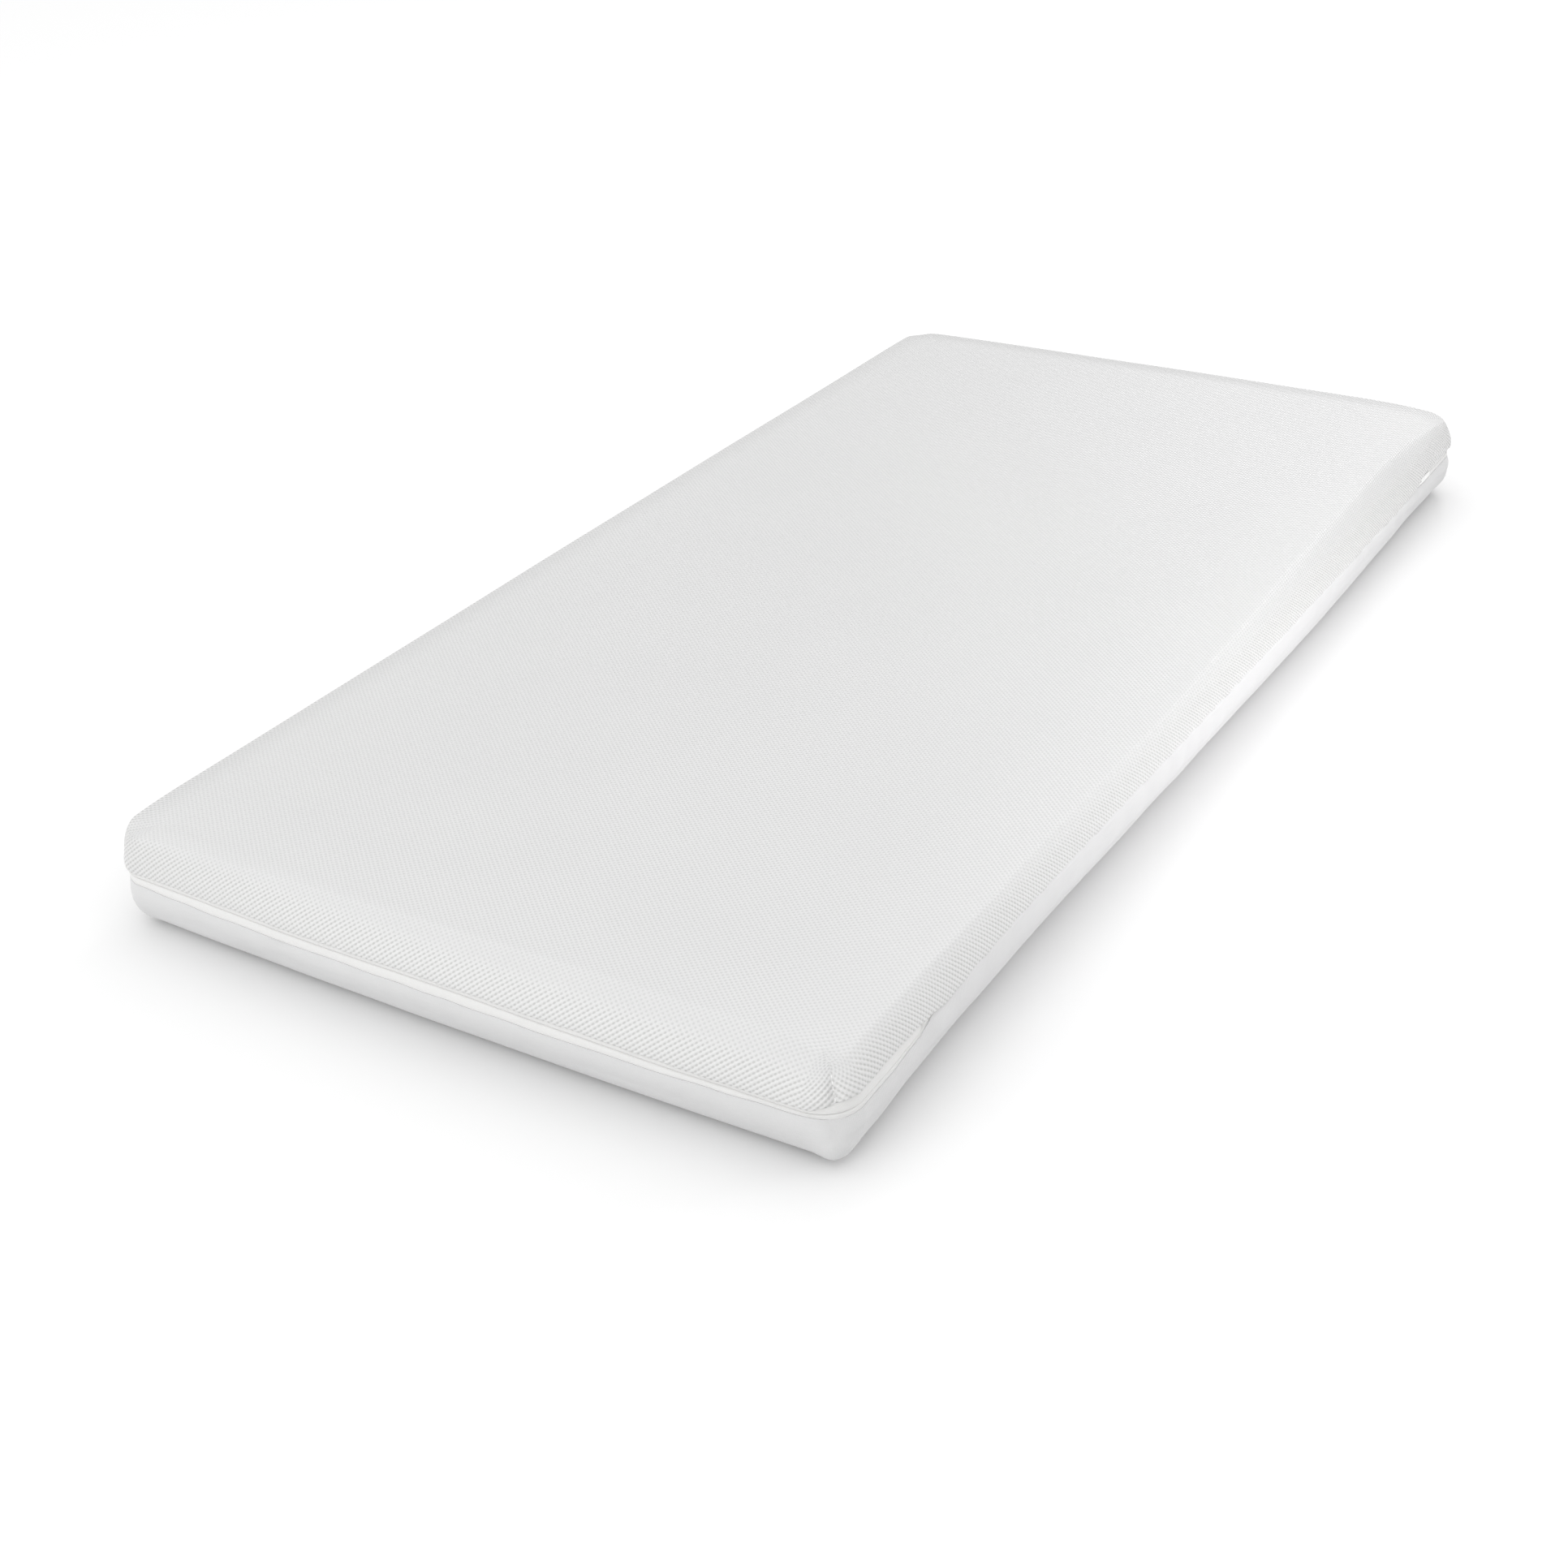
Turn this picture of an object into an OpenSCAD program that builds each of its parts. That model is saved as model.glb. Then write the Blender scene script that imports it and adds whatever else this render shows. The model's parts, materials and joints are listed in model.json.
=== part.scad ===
// Mattress with a foam core in a zip-off cover.
// The frame: X across the width, Y along the length, Z up, origin at the centre of the underside.
// Depths are measured inward from the widest outline, heights from the underside.

/* [Mattress] */
// Width
mattress_w = 600; // [560:10:900]
// Length
mattress_l = 1200; // [900:10:2000]
// Height to the top of the cover
mattress_h = 80; // [76:1:110]
// Radius of the four upright corners
corner_r = 32; // [32:1:40]
// Radius of the top edge
top_edge_r = 11; // [10:0.5:13]
// Radius of the soft bottom edge
bottom_edge_r = 28; // [24:1:28]

/* [Cover] */
// Thickness of the spacer mesh
mesh_t = 4; // [3:0.5:5]
// Thickness of the mesh where the hem is sewn flat
hem_t = 1.2; // [1:0.1:1.5]
// Thickness of the lower cloth
cloth_t = 1.6; // [1.2:0.1:1.8]
// Depth of the lower cloth's face behind the widest outline
cloth_inset = 0.4; // [0.3:0.1:0.8]
// Width of the blank care label
label_w = 36; // [20:1:50]
// Height of the blank care label
label_h = 14; // [10:1:16]

/* [Zip] */
// Height of the closing line
zip_z = 46.5; // [44:0.5:48]
// Depth of the tapes' outer face
tape_depth = 2.8; // [2.8:0.1:3]
// Width of one tape
tape_w = 14; // [12:1:15]
// Thickness of the tapes
tape_t = 0.6; // [0.5:0.1:0.7]
// Height of one coil
coil_w = 2.2; // [1.8:0.1:2.4]
// Depth of one coil behind its tape
coil_t = 1.8; // [1.5:0.1:1.8]
// How far the zip returns along the sewn side, from each of its corners
zip_return = 120; // [100:5:150]
// Length of the slider body
slider_l = 11; // [9:0.5:12]
// Length of the pull tab
pull_l = 28; // [20:1:30]

/* [Foam] */
// Thickness of the memory foam layer
memory_foam_t = 25; // [15:1:30]
// Depth of the foam's sides behind the widest outline
foam_depth = 6.6; // [6.6:0.1:8]

/* [Hidden] */
$fn = 48;
arc_steps = 8;

half_w = mattress_w / 2;
half_l = mattress_l / 2;
// Centres of the upright corners
corner_x = half_w - corner_r;
corner_y = half_l - corner_r;

// The cover's hems above and below the closing line, and the widest stretch of each border
mesh_hem_z = zip_z + 5.5;
cloth_hem_z = zip_z - 4.5;
mesh_wide_z = zip_z + 17.5;
cloth_wide_z = zip_z - 14.5;
hem_depth = tape_depth - hem_t;
// Along the sewn side the two covers come closer together
seam_gap = 0.4;
mesh_seam_z = zip_z + 2 * seam_gap;
cloth_seam_z = zip_z - seam_gap;

// Where the zip ends, and the short runs of the upper half that stay beside its two ends
zip_end_y = half_l - zip_return;
tape_tail = 6;
near_run_l = 20;
zip_gap = 0.3;
// The halves stand apart along the slider's run, round its divider
slider_run_gap = 1.4;
coil_depth = tape_depth + tape_t;
stitch_t = 0.4;
stitch_w = 0.8;
stitch_offset = 9.5;

// Slider
tack_l = 2;
slider_start_y = zip_end_y + tack_l + 1;
slider_y = slider_start_y + slider_l / 2;
plate_t = 1;
plate_w = 8;
divider_l = 3;
divider_t = 0.9;
slide_clearance = 0.1;
flange_t = 0.5;
bridge_l = 6;
bridge_w = 1.8;
bridge_t = 0.5;
pull_t = 0.7;
pull_w = 6;
pull_pin_depth = 1.27;

// Foam
foam_floor = cloth_t;
foam_top = mattress_h - mesh_t - 0.4;
foam_top_edge_r = 6;
foam_bottom_edge_r = bottom_edge_r - 4;

// A point of a wall section, from its depth behind the outline and its height
function at(depth, z) = [corner_r - depth, z];

// Points of an arc in a wall section, about a centre at a depth and height
function arc(depth, z, r, from, to) = [
    for (i = [0:arc_steps])
        let (a = from + (to - from) * i / arc_steps)
        [corner_r - depth + r * cos(a), z + r * sin(a)]
];

// Radius of the shallow curve that tucks a border in by a depth over a height
function tuck_r(depth, height) = (height * height + depth * depth) / (2 * depth);

// A straight stretch of wall on the side that faces +X, from one Y to another
module straight(from, to, side_x = corner_x) {
    translate([side_x, to, 0])
        rotate([90, 0, 0])
            linear_extrude(height = to - from)
                children();
}

// A quarter turn of wall round the corner between the +X and +Y sides
module quarter() {
    translate([corner_x, corner_y, 0])
        rotate_extrude(angle = 90)
            children();
}

// The wall of the +Y end
module end_wall() {
    rotate([0, 0, 90])
        straight(-corner_x, corner_x, corner_y)
            children();
}

// The zipped course: near corner, near end, far side, far end and far corner
module zipped_course() {
    for (y_side = [0, 1])
        mirror([0, y_side, 0]) {
            quarter() children();
            mirror([1, 0, 0]) quarter() children();
            end_wall() children();
        }
    mirror([1, 0, 0])
        straight(-corner_y, corner_y)
            children();
}

module strip(depth, t, from, to) {
    translate(at(depth + t, from))
        square([t, to - from]);
}

// Half a coil's section: flat on the tape, round towards the foam
module coil_section(from) {
    round_r = coil_w / 2;
    flat_t = coil_t - round_r;
    strip(coil_depth, flat_t, from, from + coil_w);
    translate(at(coil_depth + flat_t, from + round_r))
        intersection() {
            circle(round_r);
            translate([-round_r, -round_r]) square([round_r, 2 * round_r]);
        }
}

module mesh_section(hem_z) {
    tuck = tuck_r(hem_depth, mesh_wide_z - mesh_hem_z);
    tuck_angle = asin((mesh_wide_z - mesh_hem_z) / tuck);
    edge_z = mattress_h - top_edge_r;
    polygon(concat(
        [[0, mattress_h]],
        arc(top_edge_r, edge_z, top_edge_r, 90, 0),
        arc(tuck, mesh_wide_z, tuck, 0, -tuck_angle),
        [at(hem_depth, hem_z), at(tape_depth, hem_z)],
        [at(tape_depth, mesh_wide_z - 2.5), at(mesh_t, mesh_wide_z)],
        arc(top_edge_r, edge_z, top_edge_r - mesh_t, 0, 90),
        [[0, mattress_h - mesh_t]]
    ));
}

module cloth_section(hem_z) {
    tuck = tuck_r(hem_depth - cloth_inset, cloth_hem_z - cloth_wide_z);
    tuck_angle = asin((cloth_hem_z - cloth_wide_z) / tuck);
    edge_depth = cloth_inset + bottom_edge_r;
    fold_r = hem_t / 2;
    polygon(concat(
        [[0, 0]],
        arc(edge_depth, bottom_edge_r, bottom_edge_r, -90, 0),
        arc(cloth_inset + tuck, cloth_wide_z, tuck, 0, tuck_angle),
        arc(hem_depth + fold_r, hem_z - fold_r, fold_r, 0, 180),
        [at(tape_depth, cloth_wide_z), at(cloth_inset + cloth_t, cloth_wide_z - 2)],
        arc(edge_depth, bottom_edge_r, bottom_edge_r - cloth_t, 0, -90),
        [[0, cloth_t]]
    ));
}

module floor_panel(from, to) {
    translate([-corner_x, -corner_y, from])
        cube([2 * corner_x, 2 * corner_y, to - from]);
}

module top_cover() {
    color("white") {
        floor_panel(mattress_h - mesh_t, mattress_h);
        zipped_course() mesh_section(mesh_hem_z);
        straight(-zip_end_y, zip_end_y) mesh_section(mesh_seam_z);
        for (y_side = [0, 1])
            mirror([0, y_side, 0])
                straight(zip_end_y, corner_y) mesh_section(mesh_hem_z);
    }
}

module corner_dart_stitching() {
    thread_r = 0.5;
    thread_x = (corner_r - mesh_t - thread_r) * cos(45);
    color("whitesmoke")
        for (x_side = [-1, 1], y_side = [-1, 1])
            translate([x_side * (corner_x + thread_x), y_side * (corner_y + thread_x), mesh_wide_z])
                cylinder(r = thread_r, h = mattress_h - top_edge_r - mesh_wide_z);
}

module lower_cover() {
    color("gainsboro") {
        floor_panel(0, cloth_t);
        zipped_course() cloth_section(cloth_hem_z);
        straight(-zip_end_y, zip_end_y) cloth_section(cloth_seam_z);
        for (y_side = [0, 1])
            mirror([0, y_side, 0])
                straight(zip_end_y, corner_y) cloth_section(cloth_hem_z);
    }
}

// The upper half's course on the lid: it leaves out the runs beside the two ends of the zip
module lid_course() {
    zipped_course() children();
    straight(-corner_y, -zip_end_y - near_run_l) children();
}

module near_run() {
    straight(-zip_end_y - near_run_l, -zip_end_y + tape_tail) children();
}

module slider_run() {
    straight(zip_end_y - tape_tail, corner_y) children();
}

module upper_zip_tape() {
    color("ghostwhite")
        lid_course()
            strip(tape_depth, tape_t, zip_z + zip_gap / 2, zip_z + zip_gap / 2 + tape_w);
}

module upper_zip_coil() {
    color("white")
        lid_course()
            coil_section(zip_z + zip_gap / 2);
}

module upper_tape_ends() {
    color("ghostwhite") {
        near_run()
            strip(tape_depth, tape_t, zip_z + zip_gap / 2, zip_z + tape_w);
        slider_run()
            strip(tape_depth, tape_t, zip_z + slider_run_gap / 2, zip_z + tape_w);
    }
}

module upper_coil_ends() {
    color("white") {
        near_run()
            coil_section(zip_z + zip_gap / 2);
        slider_run()
            coil_section(zip_z + slider_run_gap / 2);
    }
}

module lower_zip_tape() {
    color("ghostwhite") {
        zipped_course()
            strip(tape_depth, tape_t, zip_z - tape_w, zip_z - zip_gap / 2);
        straight(-corner_y, -zip_end_y + tape_tail)
            strip(tape_depth, tape_t, zip_z - tape_w, zip_z - zip_gap / 2);
        slider_run()
            strip(tape_depth, tape_t, zip_z - tape_w, zip_z - slider_run_gap / 2);
    }
}

module lower_zip_coil() {
    color("white") {
        zipped_course()
            coil_section(zip_z - zip_gap / 2 - coil_w);
        straight(-corner_y, -zip_end_y + tape_tail)
            coil_section(zip_z - zip_gap / 2 - coil_w);
        slider_run()
            coil_section(zip_z - slider_run_gap / 2 - coil_w);
    }
}

module upper_zip_stitching() {
    color("whitesmoke")
        lid_course()
            strip(coil_depth, stitch_t, zip_z + stitch_offset, zip_z + stitch_offset + stitch_w);
}

module lower_zip_stitching() {
    color("whitesmoke") {
        zipped_course()
            strip(coil_depth, stitch_t, zip_z - stitch_offset - stitch_w, zip_z - stitch_offset);
        for (y_side = [0, 1])
            mirror([0, y_side, 0])
                straight(zip_end_y, corner_y)
                    strip(coil_depth, stitch_t, zip_z - stitch_offset - stitch_w, zip_z - stitch_offset);
    }
}

// Two plates joined by the divider, with flanges that guide the coils
module slider_body() {
    inner_depth = coil_depth + coil_t + slide_clearance;
    outer_depth = tape_depth - slide_clearance - plate_t;
    flange_depth = coil_depth + 2 * slide_clearance;
    color("white") {
        straight(slider_start_y, slider_start_y + slider_l) {
            strip(outer_depth, plate_t, zip_z - plate_w / 2, zip_z + plate_w / 2);
            strip(inner_depth, plate_t - slide_clearance, zip_z - plate_w / 2, zip_z + plate_w / 2);
            for (z_side = [-1, 1])
                translate([0, z_side * (plate_w - flange_t) / 2])
                    strip(flange_depth, inner_depth - flange_depth, zip_z - flange_t / 2, zip_z + flange_t / 2);
        }
        straight(slider_start_y + slider_l - divider_l, slider_start_y + slider_l)
            strip(outer_depth, inner_depth + plate_t / 2 - outer_depth,
                zip_z - divider_t / 2, zip_z + divider_t / 2);
    }
}

// A low arch over the slider's outer plate
module slider_bridge() {
    foot_depth = tape_depth - slide_clearance - plate_t;
    top_depth = pull_pin_depth - pull_t / 2 - slide_clearance - bridge_t;
    color("white") {
        straight(slider_y - bridge_l / 2, slider_y + bridge_l / 2)
            strip(top_depth, bridge_t, zip_z - bridge_w / 2, zip_z + bridge_w / 2);
        for (foot_y = [slider_y - bridge_l / 2, slider_y + bridge_l / 2 - bridge_t])
            straight(foot_y, foot_y + bridge_t)
                strip(top_depth, foot_depth - top_depth, zip_z - bridge_w / 2, zip_z + bridge_w / 2);
    }
}

// The tab lies along the closed zip, hung on a pin under the bridge
module pull_tab() {
    eye_w = bridge_w + 0.8;
    eye_l = bridge_l / 2 + 0.6;
    color("white")
        translate([half_w - pull_pin_depth, slider_y, zip_z]) {
            translate([0, 0, -pull_w / 2])
                cylinder(d = pull_t, h = pull_w);
            difference() {
                translate([-pull_t / 2, 0, -pull_w / 2])
                    cube([pull_t, pull_l - pull_w / 2, pull_w]);
                translate([-pull_t, -pull_t, -eye_w / 2])
                    cube([2 * pull_t, eye_l + pull_t, eye_w]);
            }
            translate([-pull_t / 2, pull_l - pull_w / 2, 0])
                rotate([0, 90, 0])
                    cylinder(d = pull_w, h = pull_t);
        }
}

module bar_tacks() {
    tack_t = 0.8;
    tack_w = 8;
    color("whitesmoke")
        for (y_side = [0, 1])
            mirror([0, y_side, 0])
                straight(zip_end_y, zip_end_y + tack_l)
                    strip(tape_depth - tack_t, tack_t, zip_z - tack_w / 2, zip_z + tack_w / 2);
}

module side_seam_overlock() {
    overlock_t = 1.6;
    overlock_w = 5;
    seam_y = zip_end_y - tape_tail - 1;
    color("whitesmoke")
        straight(-seam_y, seam_y)
            strip(tape_depth, overlock_t, cloth_seam_z - overlock_w, cloth_seam_z);
}

module memory_foam() {
    edge_depth = foam_depth + foam_top_edge_r;
    color("lemonchiffon") {
        floor_panel(foam_top - memory_foam_t, foam_top);
        foam_wall()
            polygon(concat(
                [[0, foam_top]],
                arc(edge_depth, foam_top - foam_top_edge_r, foam_top_edge_r, 90, 0),
                [at(foam_depth, foam_top - memory_foam_t), [0, foam_top - memory_foam_t]]
            ));
    }
}

module support_foam() {
    edge_depth = foam_depth + foam_bottom_edge_r;
    color("lightcyan") {
        floor_panel(foam_floor, foam_top - memory_foam_t);
        foam_wall()
            polygon(concat(
                [[0, foam_top - memory_foam_t], [0, foam_floor]],
                arc(edge_depth, foam_floor + foam_bottom_edge_r, foam_bottom_edge_r, -90, 0),
                [at(foam_depth, foam_top - memory_foam_t)]
            ));
    }
}

module foam_wall() {
    zipped_course() children();
    straight(-corner_y, corner_y) children();
}

module care_label() {
    label_x = -half_w / 2;
    label_t = 0.3;
    color("white")
        translate([label_x, half_l - cloth_inset, cloth_hem_z - label_h])
            cube([label_w, label_t, label_h]);
}

top_cover();
corner_dart_stitching();
lower_cover();
upper_zip_tape();
upper_zip_coil();
upper_tape_ends();
upper_coil_ends();
lower_zip_tape();
lower_zip_coil();
upper_zip_stitching();
lower_zip_stitching();
slider_body();
slider_bridge();
pull_tab();
bar_tacks();
side_seam_overlock();
memory_foam();
support_foam();
care_label();
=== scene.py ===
import json

import bmesh
import bpy
import numpy as np
from mathutils import Matrix, Vector


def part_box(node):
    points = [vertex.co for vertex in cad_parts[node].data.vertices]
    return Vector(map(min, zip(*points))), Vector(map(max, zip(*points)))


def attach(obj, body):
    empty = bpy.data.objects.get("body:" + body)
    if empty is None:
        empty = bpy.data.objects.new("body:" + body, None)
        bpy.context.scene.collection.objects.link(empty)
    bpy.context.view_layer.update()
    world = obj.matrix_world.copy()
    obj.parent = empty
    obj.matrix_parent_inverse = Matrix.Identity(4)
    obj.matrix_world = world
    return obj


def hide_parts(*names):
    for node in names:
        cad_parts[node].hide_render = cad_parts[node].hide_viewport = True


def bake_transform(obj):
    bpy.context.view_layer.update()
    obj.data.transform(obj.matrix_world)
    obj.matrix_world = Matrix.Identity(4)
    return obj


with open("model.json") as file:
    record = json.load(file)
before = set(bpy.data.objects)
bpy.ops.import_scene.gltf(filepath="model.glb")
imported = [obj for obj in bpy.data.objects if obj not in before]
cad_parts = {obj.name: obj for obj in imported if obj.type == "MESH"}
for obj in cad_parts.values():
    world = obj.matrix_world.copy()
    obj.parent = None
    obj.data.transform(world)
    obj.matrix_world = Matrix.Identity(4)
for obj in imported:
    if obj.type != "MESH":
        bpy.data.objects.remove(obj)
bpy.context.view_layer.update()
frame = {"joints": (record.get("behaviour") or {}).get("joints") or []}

MM = 0.001
TURN = 2 * np.pi


def box_mm(node):
    """A CAD node's low and high corners, in millimetres."""
    low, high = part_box(node)
    return np.array(low) / MM, np.array(high) / MM


# Driving dimensions in millimetres, from the CAD model's boxes and joints
HALF_W, HALF_L, TOP_Z = box_mm("top_cover")[1]
CORNER_R = 29.0
CORNER_X = HALF_W - CORNER_R
CORNER_Y = HALF_L - CORNER_R
BOTTOM_EDGE_R = 28.0
JOINT = {joint["name"]: joint for joint in frame["joints"]}
HINGE_X, _, HINGE_Z = JOINT["cover_lid_hinge"]["pos_m"]
ZIP_Z = HINGE_Z / MM
TACK_L = 2.0
ZIP_END_Y = box_mm("bar_tacks")[1][1] - TACK_L

# For this length by the zip's near end its upper half stays with the lower; the tapes' tails past each end
NEAR_RUN_L = 20.0
TAPE_TAIL = 6.0
TAPE_T = 0.5
TAPE_W = 14.0
CLOTH_T = 1.0
MESH_T = 1.2
# How far in from the widest outline the foam's sides lie
FOAM_DEPTH = 6.6

# Spacing of the grid along the straights, and its steps in each eighth of a turn
STEP = 7.0
CORNER_STEPS = 12
# The sides are counted anticlockwise from the right one
OUTWARD = np.array([(1, 0), (0, 1), (-1, 0), (0, -1)], float)
SIDE_RIGHT, SIDE_LEFT = 0, 2


def smooth(t):
    t = np.clip(t, 0.0, 1.0)
    return t * t * (3.0 - 2.0 * t)


def hump(x, width):
    return np.exp(-(np.asarray(x) / width) ** 2)


def unit(v):
    return v / np.linalg.norm(v, axis=-1, keepdims=True)


def course(points, at):
    """Smooth value at each place along a list of (place, value)."""
    places, values = (np.array(column, float) for column in zip(*points))
    at = np.clip(at, places[0], places[-1])
    k = np.clip(np.searchsorted(places, at, side="right") - 1, 0, len(places) - 2)
    t = smooth((at - places[k]) / (places[k + 1] - places[k]))
    return values[k] + (values[k + 1] - values[k]) * t


# ---- shape of the cover

# How the mesh hem, the closing line and the cloth's fold run along the right side, by Y
MESH_EDGE_Z = [(-600, 52.5), (-572, 55), (-540, 56.5), (-510, 56), (-492, 54.8), (-470, 51.6), (-420, 54.8),
               (-360, 57.4), (-200, 58.3), (-95, 57.8), (25, 56.4), (160, 52.3), (315, 46.6), (430, 42.8),
               (466, 44), (496, 52), (600, 52)]
ZIP_LINE_Z = [(-600, 43.5), (-540, 44.5), (-512, 46.5), (-486, 50.8), (-470, 52), (470, 46), (486, 46.5),
              (600, 46.5)]
CLOTH_EDGE_Z = [(-600, 39.5), (-540, 41), (-508, 44.5), (-478, 52), (-420, 56), (-360, 58.6), (-200, 59.5),
                (-95, 59), (25, 57.6), (160, 53.5), (315, 47.8), (430, 44), (470, 45), (496, 42), (600, 42)]
# How far in from the widest outline the top's ridge lies: usually, along the front by X, and the right by Y
RIDGE_USUAL = 5.0
FRONT_RIDGE = [(-300, 7), (-200, 13), (-100, 18), (0, 22), (150, 25), (250, 26), (300, 20)]
RIGHT_RIDGE = [(-600, 20), (-560, 14), (-400, 13), (-290, 16), (-130, 13.5), (40, 18), (220, 24), (420, 26.5),
               (500, 24), (560, 14), (600, 6)]
# How far the closing line arches above its level along the front, by X
FRONT_RISE = [(-300, 0.5), (-170, 2), (-20, 3.6), (110, 1.6), (210, -0.8), (272, -2.6), (300, -2.6)]
# How far the foot of the right side is tucked in, by Y, and the left side's
RIGHT_TUCK = [(-600, -1), (-560, 0.6), (-500, 4), (-430, 6.4), (-330, 7.8), (-200, 6.7), (-20, 4.4),
              (100, 1.8), (235, 0), (390, 1.3), (480, 2.7), (560, 2), (600, 0)]
LEFT_TUCK = 7.0
# How far the sides bow out at their middles: the long and short ones, and the short ones' feet
LONG_BOW, SHORT_BOW = 5.4, 9.0
FRONT_FOOT_BOW, BACK_FOOT_BOW = 4.0, 1.9
# How far above and below the closing line the hem and the fold usually lie
HEM_RISE, FOLD_DROP = 5.2, 4.5


def on_right(x):
    """1 on the right side's wall, falling to 0 round its two corners."""
    return smooth((x - CORNER_X) / CORNER_R)


def on_front(y):
    """1 on the front wall, falling to 0 round its two corners."""
    return smooth((-y - CORNER_Y) / CORNER_R)


def along_right(points, usual, wave, x, y):
    """A height that follows its points along the right side, and waves about its usual level elsewhere."""
    share = on_right(x)
    return usual + wave * (1 - share) + (course(points, y) - usual) * share


def front_rise(x, y):
    return course(FRONT_RISE, x) * on_front(y) * (1 - on_right(x))


def ridge_depth(x, y):
    right, front = on_right(x), on_front(y) * (1 - on_right(x))
    return (RIDGE_USUAL + (course(RIGHT_RIDGE, y) - RIDGE_USUAL) * right
            + (course(FRONT_RIDGE, x) - RIDGE_USUAL) * front)


def mesh_edge_z(x, y):
    wave = 0.5 * np.sin(x / 47.0) + 0.35 * np.sin(y / 61.0 + 1.0) + 0.2 * np.sin(x / 11.0 + y / 13.0)
    return along_right(MESH_EDGE_Z, ZIP_Z + HEM_RISE, wave, x, y) + front_rise(x, y)


def zip_line_z(x, y):
    wave = 0.45 * np.sin(x / 39.0 + 0.7) + 0.3 * np.sin(y / 53.0)
    return along_right(ZIP_LINE_Z, ZIP_Z, wave, x, y) + front_rise(x, y)


def cloth_edge_z(x, y):
    small = 0.35 * np.sin(x / 9.0 + 2 * np.sin(x / 40.0))
    wave = 0.6 * np.sin(x / 58.0 + 2.0) + 0.3 * np.sin(y / 71.0) + small
    return along_right(CLOTH_EDGE_Z, ZIP_Z - FOLD_DROP, wave, x, y)


def warp(p):
    """The full cover's sides bow out between its corners, most at half its height, and its foot tucks in."""
    x, y, z = p.T
    high = smooth((z - 8.0) / 34.0)
    bulge = high * (1 - 0.7 * smooth((z - 52.0) / 24.0))
    long_bow = LONG_BOW * np.clip(1 - (y / 470.0) ** 2, 0, 1) ** 2
    left_tuck = LEFT_TUCK * np.clip(1 - (y / 560.0) ** 4, 0, 1)
    tuck = np.where(x > 0, course(RIGHT_TUCK, y), left_tuck)
    side_x = bulge * long_bow - (1 - high) * tuck
    short_bow = np.clip(1 - (x / HALF_W) ** 2, 0, 1)
    foot_bow = np.where(y > 0, BACK_FOOT_BOW, FRONT_FOOT_BOW)
    side_y = (bulge * SHORT_BOW + (1 - high) * foot_bow) * short_bow
    reach_x = smooth((np.abs(x) - 150.0) / 150.0)
    reach_y = smooth((np.abs(y) - 400.0) / 200.0)
    return np.stack([x + np.sign(x) * side_x * reach_x, y + np.sign(y) * side_y * reach_y, z], 1)


class Outline:
    """Stations round the widest outline, from the middle of the near right corner and anticlockwise."""

    def __init__(self):
        turn = np.arcsin(np.arange(CORNER_STEPS + 1) / CORNER_STEPS * np.sqrt(0.5))
        centre, normal, along, side, bend = [], [], [], [], []
        for s in range(4):
            sideways = s in (SIDE_RIGHT, SIDE_LEFT)
            half, far = (CORNER_Y, CORNER_X) if sideways else (CORNER_X, CORNER_Y)
            n = int(round(2 * half / STEP))
            out = OUTWARD[s]
            run = np.array([-out[1], out[0]])
            before = -turn[CORNER_STEPS:0:-1]
            after = turn[1:CORNER_STEPS]
            for angle, t in ([(a, -1.0) for a in before]
                             + [(0.0, -1.0 + 2.0 * k / n) for k in range(n + 1)]
                             + [(a, 1.0) for a in after]):
                centre.append(out * far + run * half * t)
                normal.append(out * np.cos(angle) + run * np.sin(angle))
                along.append(half * t + CORNER_R * angle)
                side.append(s)
                bend.append(abs(angle) / (np.pi / 4))
        self.centre, self.normal = np.array(centre), np.array(normal)
        self.along, self.side, self.bend = np.array(along), np.array(side), np.array(bend)
        self.rim = self.centre + self.normal * CORNER_R
        self.n = len(self.side)
        gaps = np.linalg.norm(np.diff(self.rim, axis=0, append=self.rim[:1]), axis=1)
        self.reach = np.concatenate([[0.0], np.cumsum(gaps)])
        self.total = self.reach[-1]
        straight = (self.side == SIDE_RIGHT) & (self.bend == 0)
        self.right_start = self.reach[:-1][straight][0] + CORNER_Y

    def right(self, y):
        """Distance round the outline of a place on the right side."""
        return self.right_start + y

    def at(self, s):
        """Centre and normal at distances round the outline."""
        s = np.mod(s, self.total)
        columns = np.column_stack([self.centre, self.normal])
        columns = np.vstack([columns, columns[:1]])
        out = np.column_stack([np.interp(s, self.reach, column) for column in columns.T])
        return out[:, :2], unit(out[:, 2:4])

    def rim_at(self, s):
        centre, normal = self.at(s)
        return (centre + normal * CORNER_R).T

    def points(self, s, depth, z):
        """Points of the real shape at distances round the outline, depths behind it and heights."""
        centre, normal = self.at(s)
        plan = centre + normal * (CORNER_R - np.broadcast_to(depth, len(s)))[:, None]
        return warp(np.column_stack([plan, np.broadcast_to(z, len(s))]))

    def ring(self, depth, z):
        plan = self.centre + self.normal * (CORNER_R - np.broadcast_to(depth, self.n))[:, None]
        return np.column_stack([plan, np.broadcast_to(z, self.n)])

    def stations(self, start, end):
        """Distances from start to end, spaced as the grid is."""
        reach = np.concatenate([self.reach, self.reach[1:] + self.total])
        inner = reach[(reach > start + 0.5) & (reach < end - 0.5)]
        return np.concatenate([[start], inner, [end]])


OUTLINE = Outline()
RIM_X, RIM_Y = OUTLINE.rim.T
# Degrees of turn from each station to the middle of its corner, and 90 on the straights
FROM_CORNER = np.where(OUTLINE.bend > 0, (1 - OUTLINE.bend) * 45.0, 90.0)
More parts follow.
